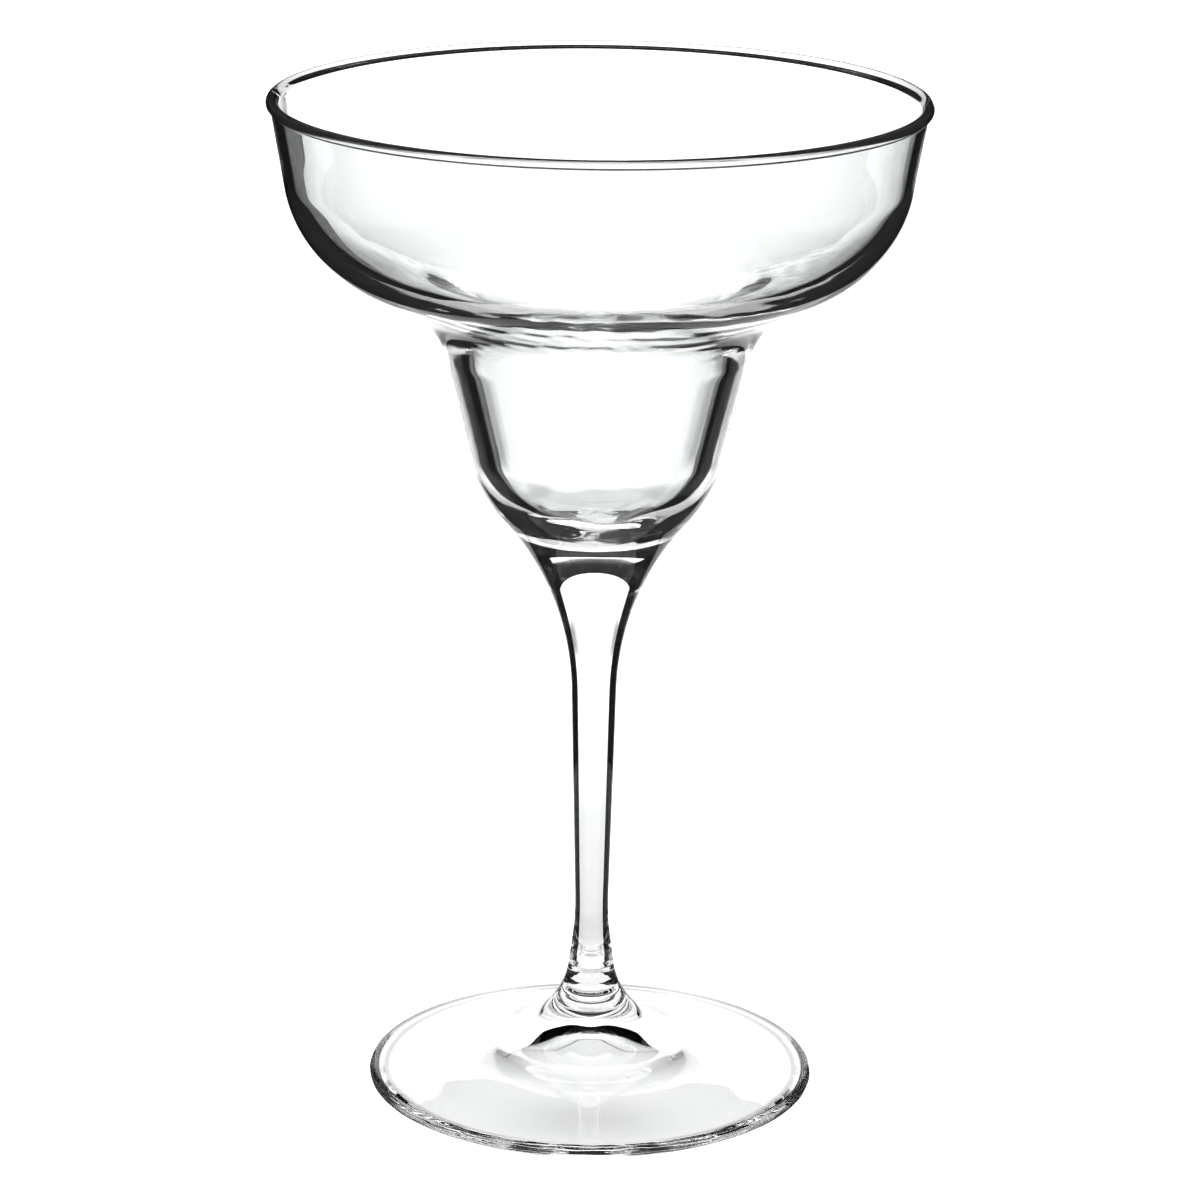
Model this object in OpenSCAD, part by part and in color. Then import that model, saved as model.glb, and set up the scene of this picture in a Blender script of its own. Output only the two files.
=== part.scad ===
// Margarita glass: a stepped bowl, a drawn stem and a pressed foot, each formed by itself and
// fused to the next at a flat weld. All sizes are in millimetres and the glass stands on z = 0.

/* [Overall] */
// Height of the glass, from the table to the top of the rim
glass_h = 182.5; // [170:0.5:200]
// Diameter of the rim, over the outside of the bead
rim_d = 116; // [106:0.5:126]

/* [Rim] */
// Diameter of the fire-polished bead that finishes the rim
bead_d = 1.7; // [1.4:0.1:2.4]
// How far the bead stands out of the wall
bead_out = 0.6; // [0.3:0.1:0.8]
// Radius of the hollow where the outside of the wall runs into the bead
bead_neck_r = 0.3; // [0.2:0.1:1.5]

/* [Upper bowl] */
// Flare of the upper wall, in degrees from vertical
upper_flare = 9.5; // [4:0.25:14]
// Thickness of the upper wall
upper_wall = 1.8; // [1.3:0.1:2.4]
// Depth of the upper bowl, from the rim to its outer corner
upper_depth = 26.7; // [22:0.1:34]
// Radius of the outer corner under the upper wall
upper_corner_r = 22.9; // [14:0.1:26]

/* [Shoulder] */
// Height of the sloping shoulder, from the upper corner to the corner above the cup
shoulder_h = 13.1; // [10:0.1:18]
// Thickness of the shoulder
shoulder_wall = 2.9; // [1.8:0.1:3.6]
// Diameter of the outer corner where the shoulder turns down into the cup
shoulder_d = 56.8; // [52:0.2:62]
// Radius of the hollow under that corner
shoulder_hollow_r = 15.4; // [8:0.2:18]
// Radius of the inside corner between the shoulder and the cup wall
step_inside_r = 15; // [8:0.5:20]

/* [Lower cup] */
// Height of the cup wall, from the shoulder corner to the corner above the neck
cup_h = 30.8; // [26:0.1:36]
// Diameter of the outer corner at the bottom of the cup wall
cup_base_d = 42.1; // [38:0.1:46]
// Thickness of the cup wall
cup_wall = 4.2; // [2.4:0.1:5]
// Radius of the outer corner at the bottom of the cup
cup_corner_r = 26.6; // [16:0.1:30]
// Depth of the floor of the cup below the outer corner at its bottom
cup_floor_drop = 5.6; // [3:0.2:7]
// Radius of the inside corner between the cup wall and its floor
cup_inside_r = 16; // [10:0.5:18]

/* [Neck and stem] */
// Height of the neck, from the corner of the cup to the corner of the stem
neck_h = 19; // [15:0.1:23]
// Diameter of the stem at the corner under the neck
stem_top_d = 9; // [8:0.1:11]
// Radius of the long sweep from the neck into the stem
neck_sweep_r = 50; // [30:1:60]
// Diameter of the stem at its thinnest
stem_waist_d = 5.8; // [5.4:0.1:7]
// Height of the thinnest part above the table
stem_waist_z = 31.4; // [30:0.2:40]
// Radius of the curve through the thinnest part
stem_waist_r = 61; // [30:1:90]

/* [Foot] */
// Diameter of the foot
foot_d = 81; // [74:0.5:88]
// Thickness of the rounded edge of the foot
foot_edge = 2.5; // [2:0.1:3.4]
// Height of the lowest point of that edge above the table
foot_edge_lift = 0.6; // [0.3:0.1:1]
// Diameter of the stem at the corner where it flares into the foot
flare_d = 10.2; // [9:0.1:12]
// Height of that corner above the table
flare_z = 15.2; // [13:0.1:17]
// Radius of the flare
flare_r = 15; // [8:0.5:16]
// Diameter of the soft bend in the top of the foot
bend_d = 37; // [30:0.5:44]
// Height of that bend above the table
bend_z = 7.4; // [6:0.1:9]
// Radius of that bend
bend_r = 30; // [10:1:40]
// Distance of the flat ring that the foot stands on from the edge of the foot
ring_inset = 2; // [1.5:0.1:6]
// Width of that ring
ring_w = 1.5; // [1:0.1:5]
// Diameter of the bend where the hollow under the foot turns up into the kick in its middle
kick_d = 29; // [20:0.5:36]
// Height of the hollow at that bend
hollow_h = 4.3; // [2:0.1:4.4]
// Radius of that bend
kick_foot_r = 24; // [10:1:40]
// Diameter of the corner at the top of the kick
kick_top_d = 5.4; // [3:0.2:10]
// Height of the kick above the table
kick_h = 8.5; // [5:0.1:10]
// Radius of the corner at its top
kick_r = 9; // [4:0.5:14]

/* [Welds] */
// Distance of the bowl's weld below the corner at the bottom of the cup
bowl_weld_drop = 18.7; // [16:0.1:24]
// Height of the foot's weld above the table
foot_weld_z = 18; // [16:0.1:22]

/* [Hidden] */

// Facets round the axis, and the largest gap between an arc of the outline and its chords
$fn = 180;
chord_gap = 0.01;

// Points in the outline are [radius, height]
wall_dir = [sin(upper_flare), cos(upper_flare)];
wall_out = [cos(upper_flare), -sin(upper_flare)];
bead_r = bead_d / 2;
bead_centre = [rim_d / 2 - bead_r, glass_h - bead_r];
// How far the outside of the wall lies outwards of the bead's centre
wall_offset = bead_r - bead_out;

// Heights of the outer corners, counted down from the rim
upper_corner_z = glass_h - upper_depth;
shoulder_z = upper_corner_z - shoulder_h;
cup_corner_z = shoulder_z - cup_h;
neck_z = cup_corner_z - neck_h;
bowl_weld_z = cup_corner_z - bowl_weld_drop;
cup_floor_z = cup_corner_z - cup_floor_drop;

function unit(v) = v / norm(v);

// Where the line through a along u meets the line through b along v
function meet(a, u, b, v) =
    a + u * ((b.x - a.x) * v.y - (b.y - a.y) * v.x) / (u.x * v.y - u.y * v.x);

// The normal of the line from a down to b that points at the axis
function inward(a, b) = let (d = unit(b - a)) [d.y, -d.x];

function polar(centre, r, angle) = centre + r * [cos(angle), sin(angle)];

// Arc about a centre, from one angle to another
function arc(centre, r, from, to) =
    let (
        step = 2 * acos(max(0, 1 - chord_gap / r)),
        steps = max(2, ceil(abs(to - from) / step))
    )
    [for (i = [0:steps]) polar(centre, r, from + (to - from) * i / steps)];

// Half of the angle at corner b
function half_angle(a, b, c) = acos(unit(a - b) * unit(c - b)) / 2;

// Arc of radius r that rounds the corner at b
function rounded(a, b, c, r) =
    let (
        half = half_angle(a, b, c),
        centre = b + unit(unit(a - b) + unit(c - b)) * r / sin(half),
        start = b + unit(a - b) * r / tan(half) - centre,
        end = b + unit(c - b) * r / tan(half) - centre,
        from = atan2(start.y, start.x),
        turn = (atan2(end.y, end.x) - from + 540) % 360 - 180
    )
    arc(centre, r, from, from + turn);

// Outline through the corners, each rounded to its radius or to what its two sides have room for
function outline(corners, radii) =
    let (
        last = len(corners) - 1,
        reach = [for (i = [0:last])
            i == 0 || i == last ? 0
                : radii[i] / tan(half_angle(corners[i - 1], corners[i], corners[i + 1]))],
        share = [for (i = [1:last])
            min(1, norm(corners[i] - corners[i - 1]) / (reach[i] + reach[i - 1]))]
    )
    [for (i = [0:last])
        each i == 0 || i == last ? [corners[i]]
            : rounded(corners[i - 1], corners[i], corners[i + 1],
                radii[i] * min(share[i - 1], share[i]))];

// The outline's point at height z, where it falls from one point to the next
function point_at(path, z) =
    [for (i = [1:len(path) - 1])
        let (a = path[i - 1], b = path[i])
        if (a.y >= z && b.y < z) a + (b - a) * (z - a.y) / (b.y - a.y)][0];

// All points of a list but the first
function tail(path) = [for (i = [1:len(path) - 1]) path[i]];

// The outline's own points between two heights
function between(path, high, low) = [for (p = path) if (p.y < high && p.y > low) p];

// Outside of the glass, from the bead's neck down to the edge of the foot
neck_centre_out = wall_offset + bead_neck_r;
neck_centre = bead_centre + wall_out * neck_centre_out
    - wall_dir * sqrt(pow(bead_r + bead_neck_r, 2) - pow(neck_centre_out, 2));
wall_top = neck_centre - wall_out * bead_neck_r;
upper_corner = meet(wall_top, wall_dir, [0, upper_corner_z], [1, 0]);
shoulder_corner = [shoulder_d / 2, shoulder_z];
cup_corner = [cup_base_d / 2, cup_corner_z];
edge_r = foot_edge / 2;
edge_centre = [foot_d / 2 - edge_r, foot_edge_lift + edge_r];
bend = [bend_d / 2, bend_z];
// The top of the foot ends where it touches the round of the edge
edge_span = edge_centre - bend;
edge_top_angle = atan2(edge_span.y, edge_span.x)
    + 90 - asin(edge_r / norm(edge_span));
edge_top = polar(edge_centre, edge_r, edge_top_angle);

outside = outline(
    [wall_top, upper_corner, shoulder_corner, cup_corner, [stem_top_d / 2, neck_z],
        [stem_waist_d / 2, stem_waist_z], [flare_d / 2, flare_z], bend, edge_top],
    [0, upper_corner_r, shoulder_hollow_r, cup_corner_r, neck_sweep_r,
        stem_waist_r, flare_r, bend_r, 0]);

// Round of the lip, from the inside of the wall up to the top of the bead
lip_corner = meet(bead_centre + wall_out * (wall_offset - upper_wall), wall_dir, [0, glass_h], [1, 0]);
lip_r = (bead_centre.x - lip_corner.x) * tan(45 + upper_flare / 2);
lip_centre = [bead_centre.x, glass_h - lip_r];

// Inside of the bowl, from the lip down to the middle of the cup's floor
wall_in = lip_centre - wall_out * lip_r;
shoulder_in = inward(upper_corner, shoulder_corner);
cup_in = inward(shoulder_corner, cup_corner);
shoulder_dir = unit(shoulder_corner - upper_corner);
cup_dir = unit(cup_corner - shoulder_corner);
shoulder_line = shoulder_corner + shoulder_in * shoulder_wall;
cup_line = cup_corner + cup_in * cup_wall;

inside = outline(
    [wall_in,
        meet(wall_in, wall_dir, shoulder_line, shoulder_dir),
        meet(shoulder_line, shoulder_dir, cup_line, cup_dir),
        meet(cup_line, cup_dir, [0, cup_floor_z], [1, 0]),
        [0, cup_floor_z]],
    [0, upper_corner_r - upper_wall, step_inside_r, cup_inside_r, 0]);

// Rim: from the inside of the wall over the lip and the bead, and down its neck to the outside
bead_end = atan2(neck_centre.y - bead_centre.y, neck_centre.x - bead_centre.x);
neck_from = bead_end + 180;
rim = concat(
    arc(lip_centre, lip_r, 180 - upper_flare, 90),
    tail(arc(bead_centre, bead_r, 90, bead_end)),
    tail(arc(neck_centre, bead_neck_r, neck_from, 180 - upper_flare)));

// Underside of the foot: round of the edge, standing ring, then the hollow and its kick
ring_out = [foot_d / 2 - ring_inset, 0];
ring_in = ring_out - [ring_w, 0];
edge_bottom_span = ring_out - edge_centre;
edge_bottom_angle = atan2(edge_bottom_span.y, edge_bottom_span.x)
    + acos(edge_r / norm(edge_bottom_span));
underside = concat(
    arc(edge_centre, edge_r, edge_top_angle, edge_bottom_angle),
    [ring_out],
    outline(
        [ring_in, [kick_d / 2, hollow_h], [kick_top_d / 2, kick_h], [0, kick_h]],
        [0, kick_foot_r, kick_r, 0]));

// Rims of the two flat welds
bowl_weld = point_at(outside, bowl_weld_z);
foot_weld = point_at(outside, foot_weld_z);

// Blown bowl: beaded rim, upper bowl, shoulder and lower cup, with the solid neck under it
module bowl() {
    color("aliceblue", 0.35)
        rotate_extrude()
            polygon(concat(
                [[0, cup_floor_z]],
                [for (i = [len(inside) - 2:-1:1]) inside[i]],
                rim,
                between(tail(outside), wall_top.y, bowl_weld_z),
                [bowl_weld, [0, bowl_weld_z]]));
}

// Drawn stem: solid, swept out to the neck at its top and to the foot at its bottom
module stem() {
    color("aliceblue", 0.35)
        rotate_extrude()
            polygon(concat(
                [[0, bowl_weld_z], bowl_weld],
                between(outside, bowl_weld_z, foot_weld_z),
                [foot_weld, [0, foot_weld_z]]));
}

// Pressed foot: trumpet-shaped hub and disc with a round edge, hollowed and kicked up underneath
module foot() {
    color("aliceblue", 0.35)
        rotate_extrude()
            polygon(concat(
                [[0, foot_weld_z], foot_weld],
                between(outside, foot_weld_z, edge_top.y),
                underside));
}

bowl();
stem();
foot();
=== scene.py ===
import math

import bpy
import numpy as np
from mathutils import Matrix, Vector


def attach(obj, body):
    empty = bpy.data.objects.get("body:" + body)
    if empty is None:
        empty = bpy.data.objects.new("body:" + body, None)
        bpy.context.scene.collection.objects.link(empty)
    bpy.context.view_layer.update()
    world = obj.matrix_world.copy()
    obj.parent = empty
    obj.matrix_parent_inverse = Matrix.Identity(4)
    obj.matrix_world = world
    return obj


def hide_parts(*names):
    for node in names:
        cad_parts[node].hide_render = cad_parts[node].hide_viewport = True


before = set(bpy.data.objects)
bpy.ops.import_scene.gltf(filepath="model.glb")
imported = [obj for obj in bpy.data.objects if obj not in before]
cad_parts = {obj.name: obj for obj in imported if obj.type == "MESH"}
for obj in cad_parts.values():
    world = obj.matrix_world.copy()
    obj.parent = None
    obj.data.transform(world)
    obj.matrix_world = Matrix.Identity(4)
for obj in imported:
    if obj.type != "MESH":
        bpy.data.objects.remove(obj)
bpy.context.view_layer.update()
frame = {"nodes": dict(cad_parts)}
print("frame loaded:", ", ".join(frame["nodes"]))

mm = 0.001  # all sizes below are in millimetres
tau = 2 * math.pi


# Outlines: every point is (radius, height) in millimetres

def unit(v):
    # same direction, length 1
    return v / np.hypot(v[0], v[1])


def cross(u, v):
    return u[0] * v[1] - u[1] * v[0]


def meet(a, u, b, v):
    # where the line through a along u crosses the line through b along v
    a, u, b, v = (np.asarray(x, float) for x in (a, u, b, v))
    return a + u * cross(b - a, v) / cross(u, v)


def evenly(line, gap):
    # same line with points about gap apart, by length along it
    length = np.concatenate([[0], np.cumsum(np.hypot(*np.diff(line, axis=0).T))])
    places = np.linspace(0, length[-1], math.ceil(length[-1] / gap) + 1)
    return np.stack([np.interp(places, length, line[:, i]) for i in range(2)], 1)


def alongArc(centre, radius, start, end, gap):
    # circle about centre from angle start to angle end, points about gap apart, in at least three steps
    count = max(3, math.ceil(abs(end - start) * radius / gap))
    angle = np.linspace(start, end, count + 1)
    return np.asarray(centre) + radius * np.stack([np.cos(angle), np.sin(angle)], 1)


def roundCorner(before, corner, after, radius, gap):
    # arc that touches both sides of a corner: its centre is radius / sin(half angle) up the bisector
    toBefore = unit(before - corner)
    toAfter = unit(after - corner)
    half = math.acos(np.dot(toBefore, toAfter)) / 2
    centre = corner + unit(toBefore + toAfter) * radius / math.sin(half)
    first = corner + toBefore * radius / math.tan(half) - centre
    last = corner + toAfter * radius / math.tan(half) - centre
    start = math.atan2(first[1], first[0])
    turn = (math.atan2(last[1], last[0]) - start + math.pi) % tau - math.pi
    return alongArc(centre, radius, start, start + turn, gap)


def roundedLine(corners, radii, gap):
    # straight runs with every inner corner rounded, then points spaced evenly along the whole length
    arcGap = gap / 6  # finer than the spacing, so that it keeps the arcs round
    corners = [np.array(c, float) for c in corners]
    parts = [corners[:1]]
    for i, radius in enumerate(radii, 1):
        parts.append(roundCorner(corners[i - 1], corners[i], corners[i + 1], radius, arcGap))
    parts.append(corners[-1:])
    return evenly(np.concatenate(parts), gap)


def between(line, high, low):
    # stretch of a falling line from one height to a lower one, cut square at both
    room = 0.05  # no other point this near to a cut
    cut = np.interp([-high, -low], -line[:, 1], line[:, 0])
    inner = line[(line[:, 1] < high - room) & (line[:, 1] > low + room)]
    return np.concatenate([[[cut[0], high]], inner, [[cut[1], low]]])


def alongNormal(line, out):
    # each point of a line moved by out, square to the line and away from the glass
    run = np.gradient(line, axis=0)
    normal = np.stack([-run[:, 1], run[:, 0]], 1) / np.hypot(run[:, 0], run[:, 1])[:, None]
    return line[:, :1] + normal[:, :1] * out, line[:, 1:] + normal[:, 1:] * out


# Waves that hot glass keeps: a row for each point of the outline, a column for each angle

def fadeBand(along, middle, half, power=2):
    # 1 at the middle, fading on both sides as e to the minus (distance / half) to the power
    return np.exp(-((along - middle) / half) ** power)


def bentWave(phase, angle, bend, bends, start):
    # sine that a slow wave, bends times round the axis, pushes to and fro
    return np.sin(phase + bend * np.sin(bends * angle + start))


def slantingWaves(waves, angle, reach, level):
    # sum of sines round the axis that slant outwards or upwards, each with its share of the size,
    # number round the circle, slant by radius, slant by height, and start
    return sum(share * np.sin(count * angle + outward * reach + upward * level + start)
               for share, count, outward, upward, start in waves)


# Meshes

sharpAngle = math.radians(60)  # edges that bend more than this stay sharp
weldSlack = 0.001  # a weld's faces lie this near to its height
weldLevel = 0.99  # and are this level, by the upright part of their normal


def addObject(name, data):
    thing = bpy.data.objects.new(name, data)
    bpy.context.scene.collection.objects.link(thing)
    return thing


def newMesh(name, points, faces, materials):
    mesh = bpy.data.meshes.new(name)
    mesh.from_pydata((np.asarray(points, float) * mm).tolist(), [], faces)
    for material in materials:
        mesh.materials.append(material)
    return mesh


def gridFaces(rows, columns, closed):
    # corners of the faces between neighbouring rows and columns; closed joins the last column to the first
    here = np.arange(columns if closed else columns - 1)
    there = (here + 1) % columns
    row = np.arange(rows - 1)[:, None] * columns
    nextRow = row + columns
    return np.stack([row + here, nextRow + here, nextRow + there, row + there], 2).reshape(-1, 4)


def turnedPiece(name, line, turns, materials, form, weldHeights):
    # line turned about the vertical axis: x = r cos a, y = r sin a, z = height, for a round the circle;
    # both ends of the line lie on the axis and become one point each.
    # form(line, angles) gives radius and height of every point, with what hot glass does to a true circle
    angle = np.arange(turns) * tau / turns
    radius, height = form(line[1:-1], angle)
    x, y, z = np.broadcast_arrays(radius * np.cos(angle), radius * np.sin(angle), height)
    grid = np.stack([x, y, z], 2).reshape(-1, 3)
    poles = [[0, 0, line[0, 1]], [0, 0, line[-1, 1]]]

    quads = gridFaces(*x.shape, closed=True)
    here = np.arange(turns)
    there = np.roll(here, -1)
    first, last = len(grid), len(grid) + 1
    lastRow = len(grid) - turns
    fans = np.concatenate([
        np.stack([np.full(turns, first), here, there], 1),
        np.stack([np.full(turns, last), lastRow + there, lastRow + here], 1)])
    mesh = newMesh(name, np.concatenate([grid, poles]), quads.tolist() + fans.tolist(), materials)
    mesh.shade_smooth()
    mesh.set_sharp_from_angle(angle=sharpAngle)

    # the second material goes on the level faces at a weld's height
    centre = np.zeros(len(mesh.polygons) * 3)
    normal = np.zeros(len(mesh.polygons) * 3)
    mesh.polygons.foreach_get("center", centre)
    mesh.polygons.foreach_get("normal", normal)
    offWeld = np.abs(centre[2::3][:, None] - np.array(weldHeights) * mm).min(1)
    onWeld = (offWeld < weldSlack * mm) & (np.abs(normal[2::3]) > weldLevel)
    mesh.polygons.foreach_set("material_index", onWeld.astype(np.int32))
    mesh.update()
    return addObject(name, mesh)


# Materials of the glass

glass = {
    "clear": "#FFFFFF", "streak": "#FBFDFD",  # the glass, and the faint streaks in it
    "ior": 1.52, "ripple": 0.006,  # ripple: height of the ripples on its surface
    # haze, and size of streaks and ripples, for each way that the hot glass was worked
    "blown": (0.035, 11.0), "drawn": (0.035, 7.0), "pressed": (0.003, 9.0),
}


def toLinear(hexColour):
    # sRGB hex to linear red, green, blue and alpha 1
    parts = np.array([int(hexColour[i:i + 2], 16) / 255 for i in (1, 3, 5)])
    linear = np.where(parts <= 0.04045, parts / 12.92, ((parts + 0.055) / 1.055) ** 2.4)
    return (*linear.tolist(), 1.0)


def addNode(tree, kind, settings=None, links=None):
    # one node with its settings and socket values, and the sockets that feed it
    node = tree.nodes.new(kind)
    for socket, value in (settings or {}).items():
        if isinstance(socket, str) and hasattr(node, socket):
            setattr(node, socket, value)
        else:
            node.inputs[socket].default_value = value
    for socket, source in (links or {}).items():
        tree.links.new(source, node.inputs[socket])
    return node


def newMaterial(name):
    material = bpy.data.materials.new(name)
    material.use_nodes = True
    material.node_tree.nodes.clear()
    return material, material.node_tree


def makeGlass(name, haze, streakSize):
    # soda-lime glass, clear and colourless: dark only where it bends the light away from the window;
    # faint ripples and streaks of tint from the hot glass, and a trace of haze that greys the light
    # guided along the wall
    material, tree = newMaterial(name)
    place = addNode(tree, "ShaderNodeTexCoord")
    streaks = addNode(tree, "ShaderNodeTexNoise", {"Scale": 1 / (streakSize * mm), "Detail": 1.0},
                      {"Vector": place.outputs["Object"]})
    # sockets 6 and 7 are the two colours to mix, and output 2 is their mix
    tint = addNode(tree, "ShaderNodeMix",
                   {"data_type": "RGBA", 6: toLinear(glass["streak"]), 7: toLinear(glass["clear"])},
                   {0: streaks.outputs[0]})
    ripple = addNode(tree, "ShaderNodeBump", {"Strength": 1.0, "Distance": glass["ripple"] * mm},
                     {"Height": streaks.outputs[0]})
    shader = addNode(tree, "ShaderNodeBsdfPrincipled",
                     {"Roughness": 0.0, "IOR": glass["ior"], "Transmission Weight": 1 - haze},
                     {"Base Color": tint.outputs[2], "Normal": ripple.outputs[0]})
    addNode(tree, "ShaderNodeOutputMaterial", links={"Surface": shader.outputs[0]})
    return material


def makeWeld(name):
    # fused weld: glass runs through it, so the two faces in contact don't show
    material, tree = newMaterial(name)
    shader = addNode(tree, "ShaderNodeBsdfTransparent", {"Color": toLinear(glass["clear"])})
    addNode(tree, "ShaderNodeOutputMaterial", links={"Surface": shader.outputs[0]})
    return material


blownGlass = makeGlass("sodaLimeGlass_blown", *glass["blown"])
drawnGlass = makeGlass("sodaLimeGlass_drawn", *glass["drawn"])
pressedGlass = makeGlass("sodaLimeGlass_pressed", *glass["pressed"])
weld = makeWeld("sodaLimeGlass_fusedWeld")
print("materials made")


# Outside of the whole glass, from under the bead down to the edge of the foot

outline = {
    "height": 182.49, "rimRadius": 57.99,
    # bead on the rim: radius, how far it stands out of the wall, radius of the hollow under it
    "beadRadius": 0.85, "beadOut": 0.6, "beadNeck": 0.3,
    "flare": math.radians(9.5), "upperWall": 1.8,  # lean and thickness of the upper wall
    "upperCorner": (155.8, 22.9),  # height, rounding
    # corners below that: radius, height, rounding
    "shoulder": (28.4, 142.7, 15.4),
    "cup": (21.05, 111.9, 26.6),
    "neck": (4.5, 92.9, 50.0),
    "waist": (2.9, 31.4, 61.0),
    "flareCorner": (5.1, 15.2, 15.0),
    "bend": (18.5, 7.4, 30.0),
    "footRadius": 40.5, "footEdge": 1.25, "footEdgeLift": 0.6,  # rounding of the edge, and room under it
    "bowlWeld": 93.2, "footWeld": 18.0,  # heights of the welds
    "gap": 0.2,  # between points
}

upWall = np.array([math.sin(outline["flare"]), math.cos(outline["flare"])])
outWall = np.array([upWall[1], -upWall[0]])
beadCentre = np.array([outline["rimRadius"], outline["height"]]) - outline["beadRadius"]
wallOut = outline["beadRadius"] - outline["beadOut"]  # outside of the wall, outward of the bead's centre
neckOut = wallOut + outline["beadNeck"]
neckDown = math.sqrt((outline["beadRadius"] + outline["beadNeck"]) ** 2 - neckOut ** 2)
neckCentre = beadCentre + outWall * neckOut - upWall * neckDown
wallTop = neckCentre - outWall * outline["beadNeck"]
upperCorner = meet(wallTop, upWall, (0, outline["upperCorner"][0]), (1, 0))
lowerCorners = [outline[name] for name in ("shoulder", "cup", "neck", "waist", "flareCorner", "bend")]
# the top of the foot runs from the bend to where it touches the round of the edge
edgeCentre = np.array([outline["footRadius"] - outline["footEdge"],
                       outline["footEdgeLift"] + outline["footEdge"]])
edgeSpan = edgeCentre - np.array(outline["bend"][:2])
edgeTopAngle = (math.atan2(edgeSpan[1], edgeSpan[0]) + math.pi / 2
                - math.asin(outline["footEdge"] / np.hypot(*edgeSpan)))
edgeTop = edgeCentre + outline["footEdge"] * np.array([math.cos(edgeTopAngle), math.sin(edgeTopAngle)])

outside = roundedLine(
    [wallTop, upperCorner, *(corner[:2] for corner in lowerCorners), edgeTop],
    [outline["upperCorner"][1], *(corner[2] for corner in lowerCorners)],
    outline["gap"])
print("outline:", len(outside), "points")


# Bowl: inside of the cup and upper bowl, over the beaded rim and down the outside to the weld

bowl = {
    "shoulderWall": 2.9, "cupWall": 4.2, "cupFloor": 106.3,
    "stepInside": 15.0, "cupInside": 16.0,  # rounding inside at the step, and round the cup's floor
    "gap": 0.6, "rimGap": 0.12, "turns": 256,
    # depth of the lip: share at front and back, more at the sides, more at the right; depth where it fades
    "lip": (0.89, 0.23, 0.06, 4.0),
    # waves and curls inside the shoulder: size, height and half width of the band,
    # least share of the size, and where they are strongest: angle from the right towards the front
    "wave": 0.05, "waveAt": (148.0, 6.0), "waveLeast": 0.25, "waveTurn": 0.5,
    # waves up the wall: share of the size, step, then bend, number of bends and start
    "upWaves": ((0.5, 3.1, 1.5, 4, 0.6), (0.35, 1.9, 2.1, 7, 2.0), (0.3, 4.7, 3.0, 3, 1.1)),
    # two waves that cross in curls: number round the bowl, slant by height, then bend, number and start
    "curls": ((27, 1.3, 2.6, 4, 0.4), (9, 0.9, 1.8, 5, 0.0)),
    # spirals at the cup's floor: size, height and half width of the band, radius where they are full
    "floorWave": 0.1, "floorWaveAt": (109.0, 3.0), "floorFull": 8.0,
    "spirals": ((1.0, 3, 1.1, 0.0, 0.0), (0.7, 8, -0.8, 0.0, 2.0)),  # as slantingWaves takes them
}

shoulderCorner = np.array(outline["shoulder"][:2])
cupCorner = np.array(outline["cup"][:2])
shoulderRun = unit(shoulderCorner - upperCorner)
cupRun = unit(cupCorner - shoulderCorner)
shoulderLine = shoulderCorner + bowl["shoulderWall"] * np.array([shoulderRun[1], -shoulderRun[0]])
cupLine = cupCorner + bowl["cupWall"] * np.array([cupRun[1], -cupRun[0]])
# the lip is round inside too: an arc that touches the inside of the wall and the crown of the bead
wallInside = beadCentre + outWall * (wallOut - outline["upperWall"])
lipCorner = meet(wallInside, upWall, (0, outline["height"]), (1, 0))
lipRadius = (beadCentre[0] - lipCorner[0]) * math.tan(math.pi / 4 + outline["flare"] / 2)
lipCentre = np.array([beadCentre[0], outline["height"] - lipRadius])
lipEnd = lipCentre - outWall * lipRadius
cupFloor = np.array([0.0, bowl["cupFloor"]])
inside = roundedLine(
    [lipEnd,
     meet(lipEnd, upWall, shoulderLine, shoulderRun),
     meet(shoulderLine, shoulderRun, cupLine, cupRun),
     meet(cupLine, cupRun, cupFloor, (1, 0)),
     cupFloor],
    [outline["upperCorner"][1] - outline["upperWall"], bowl["stepInside"], bowl["cupInside"]],
    bowl["gap"])
wallAngle = math.pi - outline["flare"]
beadEnd = math.atan2(neckCentre[1] - beadCentre[1], neckCentre[0] - beadCentre[0])
rim = np.concatenate([
    alongArc(lipCentre, lipRadius, wallAngle, math.pi / 2, bowl["rimGap"]),
    alongArc(beadCentre, outline["beadRadius"], math.pi / 2, beadEnd, bowl["rimGap"])[1:],
    alongArc(neckCentre, outline["beadNeck"], beadEnd + math.pi, wallAngle, bowl["rimGap"])[1:]])
bowlOutside = evenly(between(outside[1:], outside[1, 1], outline["bowlWeld"]), bowl["gap"])
bowlLine = np.concatenate([inside[::-1][:-1], rim, bowlOutside, [[0, outline["bowlWeld"]]]])
insideRows = len(inside) - 2  # without the point on the axis and the one that the rim starts with


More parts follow.
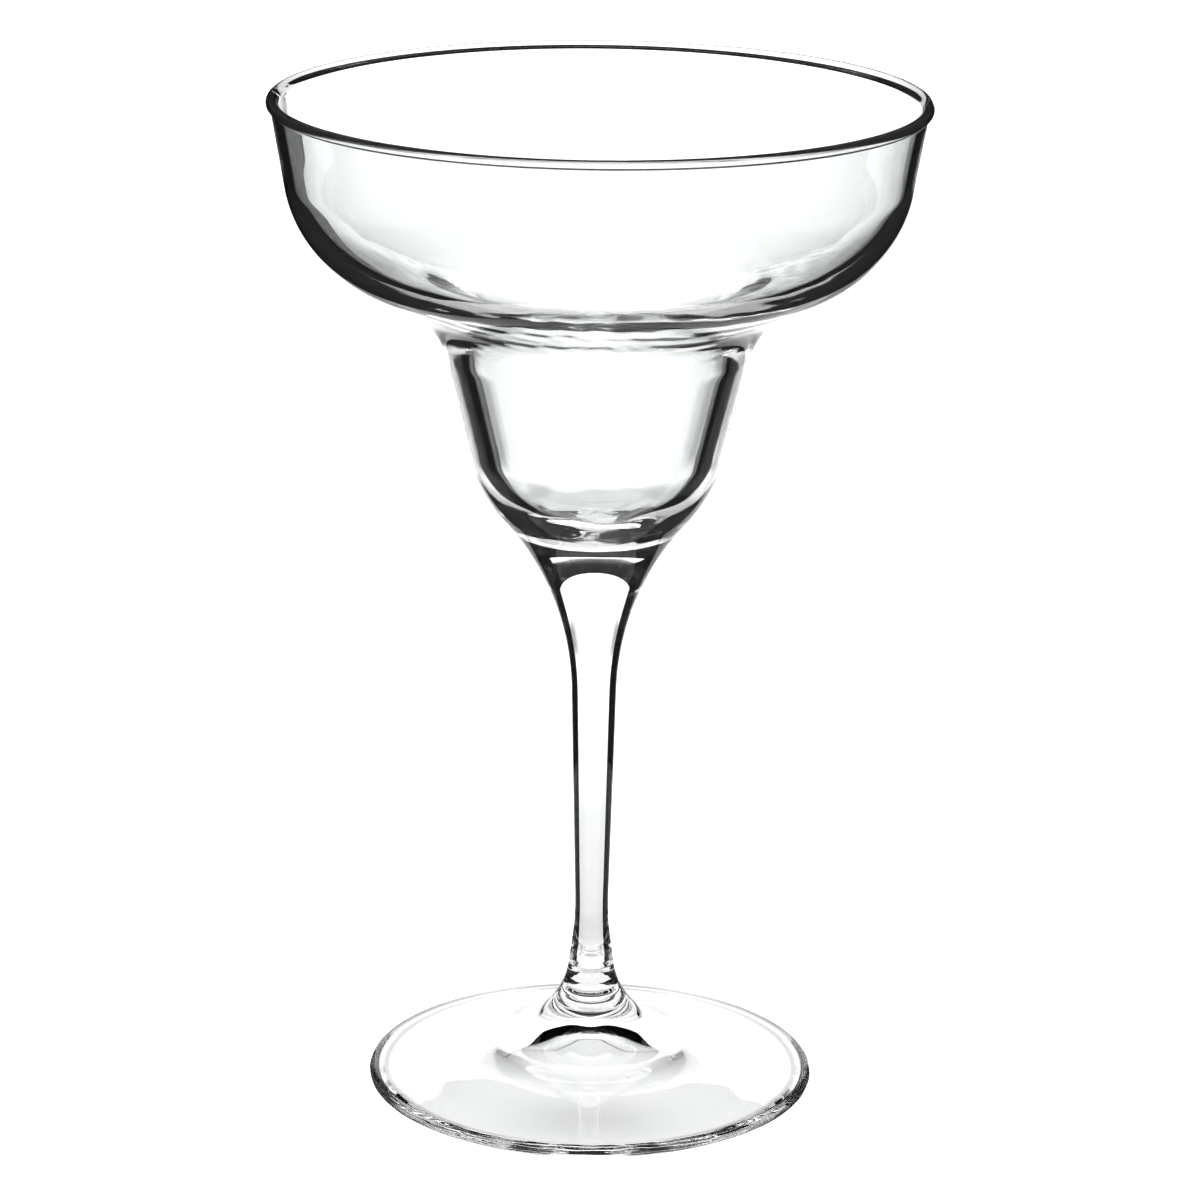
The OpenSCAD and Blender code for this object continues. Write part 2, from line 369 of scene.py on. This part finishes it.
def bowlForm(line, angle):
    # inside of the shoulder: waves up the wall, each bent sideways by a slow wave round the bowl, and curls
    # where two slanting waves cross, strongest at the right; inside of the floor: slow spirals;
    # lip: stretched downwards by a factor that changes round the rim
    reach, level = line[:, :1], line[:, 1:]
    isInside = (np.arange(len(line)) < insideRows)[:, None]
    upWaves = sum(share * bentWave(tau * level / step, angle, *bends)
                  for share, step, *bends in bowl["upWaves"])
    curls = np.prod([bentWave(count * angle + slant * level, angle, *bends)
                     for count, slant, *bends in bowl["curls"]], axis=0)
    side = (0.5 + 0.5 * np.cos(angle + bowl["waveTurn"])) ** 2
    strength = bowl["waveLeast"] + (1 - bowl["waveLeast"]) * side
    spirals = slantingWaves(bowl["spirals"], angle, reach, level)
    grow = np.clip(reach / bowl["floorFull"], 0, 1)
    out = (bowl["wave"] * fadeBand(level, *bowl["waveAt"]) * strength * (upWaves + curls)
           + bowl["floorWave"] * fadeBand(level, *bowl["floorWaveAt"]) * grow * spirals)
    radius, height = alongNormal(line, out * isInside)
    least, sides, rightMore, fade = bowl["lip"]
    stretch = least + sides * np.cos(angle) ** 2 + rightMore * np.cos(angle) - 1
    depth = outline["height"] - level
    return radius, height - stretch * depth * fadeBand(depth, 0, fade)


bowlPiece = turnedPiece("bowl_blown", bowlLine, bowl["turns"], [blownGlass, weld], bowlForm,
                        [outline["bowlWeld"]])
print("bowl:", len(bowlPiece.data.polygons), "faces")


# Stem: solid rod between the two welds

stem = {
    "gap": 0.3, "weldGap": 0.12, "turns": 256,
    "weldTop": 27.0, "weldFoot": 11.0,  # heights between which points lie as near as weldGap
    # rings left by the lower weld: size, height and half width of the band, step; bend, number and start
    "ripple": 0.008, "rippleAt": (19.5, 4.0), "rippleStep": 1.2, "rippleBend": (0.5, 1, 0.7),
}


def weldForm(line, angle):
    # rings round the weld: a sine up the stem that dies away above and below
    reach, level = line[:, :1], line[:, 1:]
    rings = bentWave(tau * level / stem["rippleStep"], angle, *stem["rippleBend"])
    return reach + stem["ripple"] * fadeBand(level, *stem["rippleAt"]) * rings, level


stemLine = np.concatenate([
    [[0, outline["bowlWeld"]]],
    evenly(between(outside, outline["bowlWeld"], stem["weldTop"]), stem["gap"])[:-1],
    evenly(between(outside, stem["weldTop"], outline["footWeld"]), stem["weldGap"]),
    [[0, outline["footWeld"]]]])
stemPiece = turnedPiece("stem_drawn", stemLine, stem["turns"], [drawnGlass, weld], weldForm,
                        [outline["bowlWeld"], outline["footWeld"]])
print("stem:", len(stemPiece.data.polygons), "faces")


# Foot: hub, disc, round edge, standing ring and the hollow under it

foot = {
    "ringOut": 38.5, "ringIn": 37.0,  # radii of the standing ring
    # corners of the hollow: radius, height, rounding
    "kick": (14.5, 4.3, 24.0), "kickTop": (2.7, 8.5, 9.0),
    "gap": 0.3, "edgeGap": 0.16, "turns": 256,
    # press marks at the edge: size, radius where they start, height below which they fade
    "edgeWave": 0.05, "edgeWaveIn": 33.0, "edgeWaveLow": 0.8,
    "edgeMarks": ((1.0, 23, 2.2, 0.0, 0.0), (0.7, 37, 0.0, -3.1, 1.0)),  # as slantingWaves takes them
    # waves on top: size, radius and half width of the band, step; bend, number and start
    "topWave": 0.025, "topWaveAt": (27.0, 8.0), "topWaveStep": 9.0, "topWaveBend": (2.0, 3, 0.5),
    "topSlants": ((0.8, 7, 0.4, 0.0, 0.0),),  # one more, as slantingWaves takes it
}

# the underside starts where a line from the ring touches the round of the edge
ringOut = np.array([foot["ringOut"], 0.0])
ringSpan = ringOut - edgeCentre
edgeBottomAngle = (math.atan2(ringSpan[1], ringSpan[0])
                   + math.acos(outline["footEdge"] / np.hypot(*ringSpan)))
edge = alongArc(edgeCentre, outline["footEdge"], edgeTopAngle, edgeBottomAngle, foot["edgeGap"])
hollow = roundedLine(
    [(foot["ringIn"], 0), foot["kick"][:2], foot["kickTop"][:2], (0, foot["kickTop"][1])],
    [foot["kick"][2], foot["kickTop"][2]], foot["gap"])
ring = evenly(np.array([edge[-1], ringOut, hollow[0]]), foot["gap"])
footLine = np.concatenate([
    [[0, outline["footWeld"]]],
    evenly(between(outside, outline["footWeld"], stem["weldFoot"]), stem["weldGap"])[:-1],
    evenly(between(outside, stem["weldFoot"], edgeTop[1]), foot["gap"])[:-1],
    edge, ring[1:-1], hollow])
topRows = int(footLine[:, 0].argmax())  # the top ends where the foot is widest


def footForm(line, angle):
    # weld rings as on the stem; at the edge slanting waves that grow outwards and stop short of the
    # standing ring; on top of the disc slow waves up and down, as rings bent by a wave round the foot
    # and one slanting wave
    radius, height = weldForm(line, angle)
    reach, level = line[:, :1], line[:, 1:]
    grow = np.clip((reach - foot["edgeWaveIn"]) / (outline["footRadius"] - foot["edgeWaveIn"]), 0, 1) ** 2
    clear = np.clip(level / foot["edgeWaveLow"], 0, 1)
    marks = slantingWaves(foot["edgeMarks"], angle, reach, level)
    onTop = (np.arange(len(line)) < topRows)[:, None]
    band = fadeBand(reach, *foot["topWaveAt"], power=4) * onTop
    waves = (bentWave(tau * reach / foot["topWaveStep"], angle, *foot["topWaveBend"])
             + slantingWaves(foot["topSlants"], angle, reach, level))
    return (radius - foot["edgeWave"] * (1 + marks / 2) * grow * clear,
            height + foot["topWave"] * band * waves)


footPiece = turnedPiece("foot_pressed", footLine, foot["turns"], [pressedGlass, weld], footForm,
                        [outline["footWeld"]])
print("foot:", len(footPiece.data.polygons), "faces")

for piece, node in ((bowlPiece, "bowl"), (stemPiece, "stem"), (footPiece, "foot")):
    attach(piece, "root")
    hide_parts(node)


# Camera: where the photo was taken from

shot = {
    "place": (0.0, -820.717, 333.55),
    "pitch": 0.28693, "yaw": 0.0011, "roll": 0.0112,  # in radians
    "lens": 143.5, "sensor": 36.0, "clip": (20.0, 50000.0),
}

ahead = Vector((math.sin(shot["yaw"]) * math.cos(shot["pitch"]),
                math.cos(shot["yaw"]) * math.cos(shot["pitch"]), -math.sin(shot["pitch"])))
sideways = Vector((math.cos(shot["yaw"]), -math.sin(shot["yaw"]), 0))
upright = sideways.cross(ahead)
right = sideways * math.cos(shot["roll"]) + upright * math.sin(shot["roll"])
up = upright * math.cos(shot["roll"]) - sideways * math.sin(shot["roll"])
lensData = bpy.data.cameras.new("camera")
lensData.sensor_width = shot["sensor"]
lensData.lens = shot["lens"]
lensData.clip_start = shot["clip"][0] * mm
lensData.clip_end = shot["clip"][1] * mm
camera = addObject("camera", lensData)
turned = Matrix((right, up, -ahead)).transposed().to_4x4()
camera.matrix_world = Matrix.Translation(Vector(shot["place"]) * mm) @ turned
bpy.context.scene.camera = camera
print("camera set")


# Studio: lit white table, white soft light, and boards that leave a window of light behind the glass

studio = {
    "floorHalf": 6000.0, "floorDrop": 0.05, "floorColour": "#FFFFFF", "floorGlow": 1.3,
    "light": 1.4, "lightColour": "#FFFFFF",
    "boardColour": "#020202", "sideColour": "#303030",
    "left": (-73.0, 111.0), "right": (89.0, 121.0),  # upright edges of the window: across, back
    "top": (171.0, 186.5, -140.0),  # upper edge of the window: back, height; where the board over it ends
    "far": (1200.0, 740.0, 600.0, 1400.0),  # board behind that: back, lower edge, half width, upper edge
    "side": 300.0, "front": -260.0, "low": -300.0, "high": 374.0,  # how far out the boards stand
    "contrast": 0.65, "bounces": 48, "diffuseBounces": 8,
}

(leftX, leftY), (rightX, rightY) = studio["left"], studio["right"]
topY, topZ, topFront = studio["top"]
farY, farLow, farX, farHigh = studio["far"]
sideX, frontY, lowZ, highZ = studio["side"], studio["front"], studio["low"], studio["high"]
floorX, floorZ = studio["floorHalf"], -studio["floorDrop"]


def makeBoard(name, hexColour):
    # matt board: plain diffuse, no gloss
    material, tree = newMaterial(name)
    shader = addNode(tree, "ShaderNodeBsdfDiffuse", {"Color": toLinear(hexColour), "Roughness": 0.0})
    addNode(tree, "ShaderNodeOutputMaterial", links={"Surface": shader.outputs[0]})
    return material


def makeLitTable(name, hexColour, glow):
    # opal table lit from below: even white
    material, tree = newMaterial(name)
    shader = addNode(tree, "ShaderNodeEmission", {"Color": toLinear(hexColour), "Strength": glow})
    addNode(tree, "ShaderNodeOutputMaterial", links={"Surface": shader.outputs[0]})
    return material


def makeShade(name):
    # half-clear sheet for painted shade: lets through as much light as the value kept at each of its points
    material, tree = newMaterial(name)
    shade = addNode(tree, "ShaderNodeAttribute", {"attribute_name": "shade"})
    shader = addNode(tree, "ShaderNodeBsdfTransparent", links={"Color": shade.outputs["Fac"]})
    addNode(tree, "ShaderNodeOutputMaterial", links={"Surface": shader.outputs[0]})
    return material


def crossBoard(y, x0, x1, z0, z1):
    return [(x0, y, z0), (x1, y, z0), (x1, y, z1), (x0, y, z1)]


def sideBoard(x, y0, y1, z0, z1):
    return [(x, y0, z0), (x, y1, z0), (x, y1, z1), (x, y0, z1)]


def levelBoard(z, x0, x1, y0, y1):
    return [(x0, y0, z), (x1, y0, z), (x1, y1, z), (x0, y1, z)]


def flatPanel(name, corners, material):
    return addObject(name, newMesh(name, corners, [(0, 1, 2, 3)], [material]))


def shadedSheet(name, x, y, z, light, closed, material):
    # grid of points, each with the light that the sheet lets through there
    points = np.stack([x, y, z], 2).reshape(-1, 3)
    mesh = newMesh(name, points, gridFaces(*x.shape, closed).tolist(), [material])
    mesh.attributes.new("shade", "FLOAT", "POINT").data.foreach_set("value", light.ravel())
    return addObject(name, mesh)


# the camera sees the table itself; in the glass, white light through the table's painted shadow stands for
# it
floor = flatPanel("floor", levelBoard(floorZ, -floorX, floorX, -floorX, floorX),
                  makeLitTable("litTable", studio["floorColour"], studio["floorGlow"]))
floor.visible_transmission = False
floor.visible_glossy = False

# what hangs on the stand turns about the glass's axis and keeps facing the camera
stand = addObject("boardStand", None)
facing = stand.constraints.new("LOCKED_TRACK")
facing.target = camera
facing.track_axis = "TRACK_NEGATIVE_Y"
facing.lock_axis = "LOCK_Z"


def hang(thing):
    # onto the stand: it shows only through the glass and mirrored in it, and casts no shadow
    thing.parent = stand
    thing.visible_camera = False
    thing.visible_diffuse = False
    thing.visible_shadow = False


# Painted shadow on the table: a disc at its level

tableShade = {
    # light let through at these distances from the axis: painted shadow, deepest just round the foot
    "at": (0.0, 43.0, 48.0, 62.0, 80.0, 165.0, 255.0),
    "light": (0.82, 0.82, 0.64, 0.62, 0.67, 0.72, 1.0),
    # painted shade in the back half under the foot: how much less, how far past the foot, how softly it
    # starts
    "back": 0.08, "backPast": 2.0, "backSoft": 6.0,
    # spot: painted shadow on the table in front of the stem
    "spot": 0.15, "spotY": -25.0, "spotHalf": (14.0, 11.0),  # spot: how much less, place, half sizes
    # lines: painted contact shadow along both sides of the standing ring
    # lines outside and inside the standing ring: how much less, radii, share of each, half width
    "line": 0.5, "lineAt": (39.7, 36.9), "lineShare": (1.0, 0.7), "lineHalf": 0.6,
    "near": (0.2, 44.0, 110), "away": (46.0, 260.0, 60), "turns": 128,  # rings: first, last, number
}


def shadeDisc(name, material):
    # painted shadow on the table, as light let through: by distance from the axis, then less in the back
    # half under the foot, in a soft spot in front of the stem, and in two lines along the standing ring
    radius = np.concatenate([np.linspace(*tableShade["near"]), np.linspace(*tableShade["away"])])[:, None]
    angle = np.arange(tableShade["turns"]) * tau / tableShade["turns"]
    x = radius * np.cos(angle)
    y = radius * np.sin(angle)
    under = radius < outline["footRadius"] + tableShade["backPast"]
    backShade = under * (0.5 + 0.5 * np.tanh(y / tableShade["backSoft"]))
    shadowSpotX, shadowSpotDeep = tableShade["spotHalf"]
    shadowSpot = np.exp(-(x / shadowSpotX) ** 2 - ((y - tableShade["spotY"]) / shadowSpotDeep) ** 2)
    contactShadow = sum(share * fadeBand(radius, place, tableShade["lineHalf"])
                 for place, share in zip(tableShade["lineAt"], tableShade["lineShare"]))
    light = (np.interp(radius, tableShade["at"], tableShade["light"]) - tableShade["back"] * backShade
             - tableShade["spot"] * shadowSpot - tableShade["line"] * contactShadow)
    hang(shadedSheet(name, x, y, np.full_like(x, floorZ), light, True, material))


shadeDisc("tableShade", makeShade("paintedTableShade"))


# Boards round the window of light

black = makeBoard("blackBoard", studio["boardColour"])
grey = makeBoard("greyBoard", studio["sideColour"])
boards = {
    "boardLeft": (crossBoard(leftY, -sideX, leftX, lowZ, highZ), black),
    "boardRight": (crossBoard(rightY, rightX, sideX, lowZ, highZ), black),
    "boardAbove": (crossBoard(topY, -sideX, sideX, topZ, highZ), black),
    "boardFar": (crossBoard(farY, -farX, farX, farLow, farHigh), black),
    "boardFront": (crossBoard(frontY, -sideX, sideX, 0, highZ), black),
    "boardTop": (levelBoard(highZ, -sideX, sideX, topFront, topY), black),
    "greyLeft": (sideBoard(-sideX, frontY, leftY, lowZ, highZ), grey),
    "greyRight": (sideBoard(sideX, frontY, rightY, lowZ, highZ), grey),
}
for name, (corners, material) in boards.items():
    hang(flatPanel(name, corners, material))


# Soft strips beside the cup, from inside the window to its upright edges: painted shade of the window's
# light

veil = {
    "inner": 46.0, "low": 60.0, "high": 112.0,  # distance from the axis, lower and upper end
    "depth": 0.5, "soft": 5.0,  # most light taken, and how softly that starts and ends in height
    "columns": 24, "rows": 60,
}


def cupShadeStrip(name, inner, outer, back, material):
    # painted shade of the window's light: taken more and more from the inner edge to the middle of the
    # strip, then the same to its outer edge; up the strip it comes and goes as half the difference of two
    # tanh curves
    low, high, soft = veil["low"], veil["high"], veil["soft"]
    x, z = np.meshgrid(np.linspace(inner, outer, veil["columns"]), np.linspace(low, high, veil["rows"]))
    across = np.clip(2 * (x - inner) / (outer - inner), 0, 1)
    along = 0.5 * (np.tanh((z - low - 2 * soft) / soft) - np.tanh((z - high + 2 * soft) / soft))
    light = 1 - veil["depth"] * across * along
    hang(shadedSheet(name, x, np.full_like(x, back), z, light, False, material))


windowEdgeShade = makeShade("windowEdgeShade")
cupShadeStrip("shadeStripLeft", -veil["inner"], leftX, leftY, windowEdgeShade)
cupShadeStrip("shadeStripRight", veil["inner"], rightX, rightY, windowEdgeShade)


# Light and view

world = bpy.data.worlds.new("softLight")
world.use_nodes = True
background = world.node_tree.nodes["Background"]
background.inputs["Color"].default_value = toLinear(studio["lightColour"])
background.inputs["Strength"].default_value = studio["light"]
scene = bpy.context.scene
scene.world = world
scene.view_settings.view_transform = "Standard"
scene.view_settings.gamma = studio["contrast"]
for kind in ("max_bounces", "transmission_bounces", "glossy_bounces"):
    setattr(scene.cycles, kind, studio["bounces"])
scene.cycles.diffuse_bounces = studio["diffuseBounces"]
print("studio set")
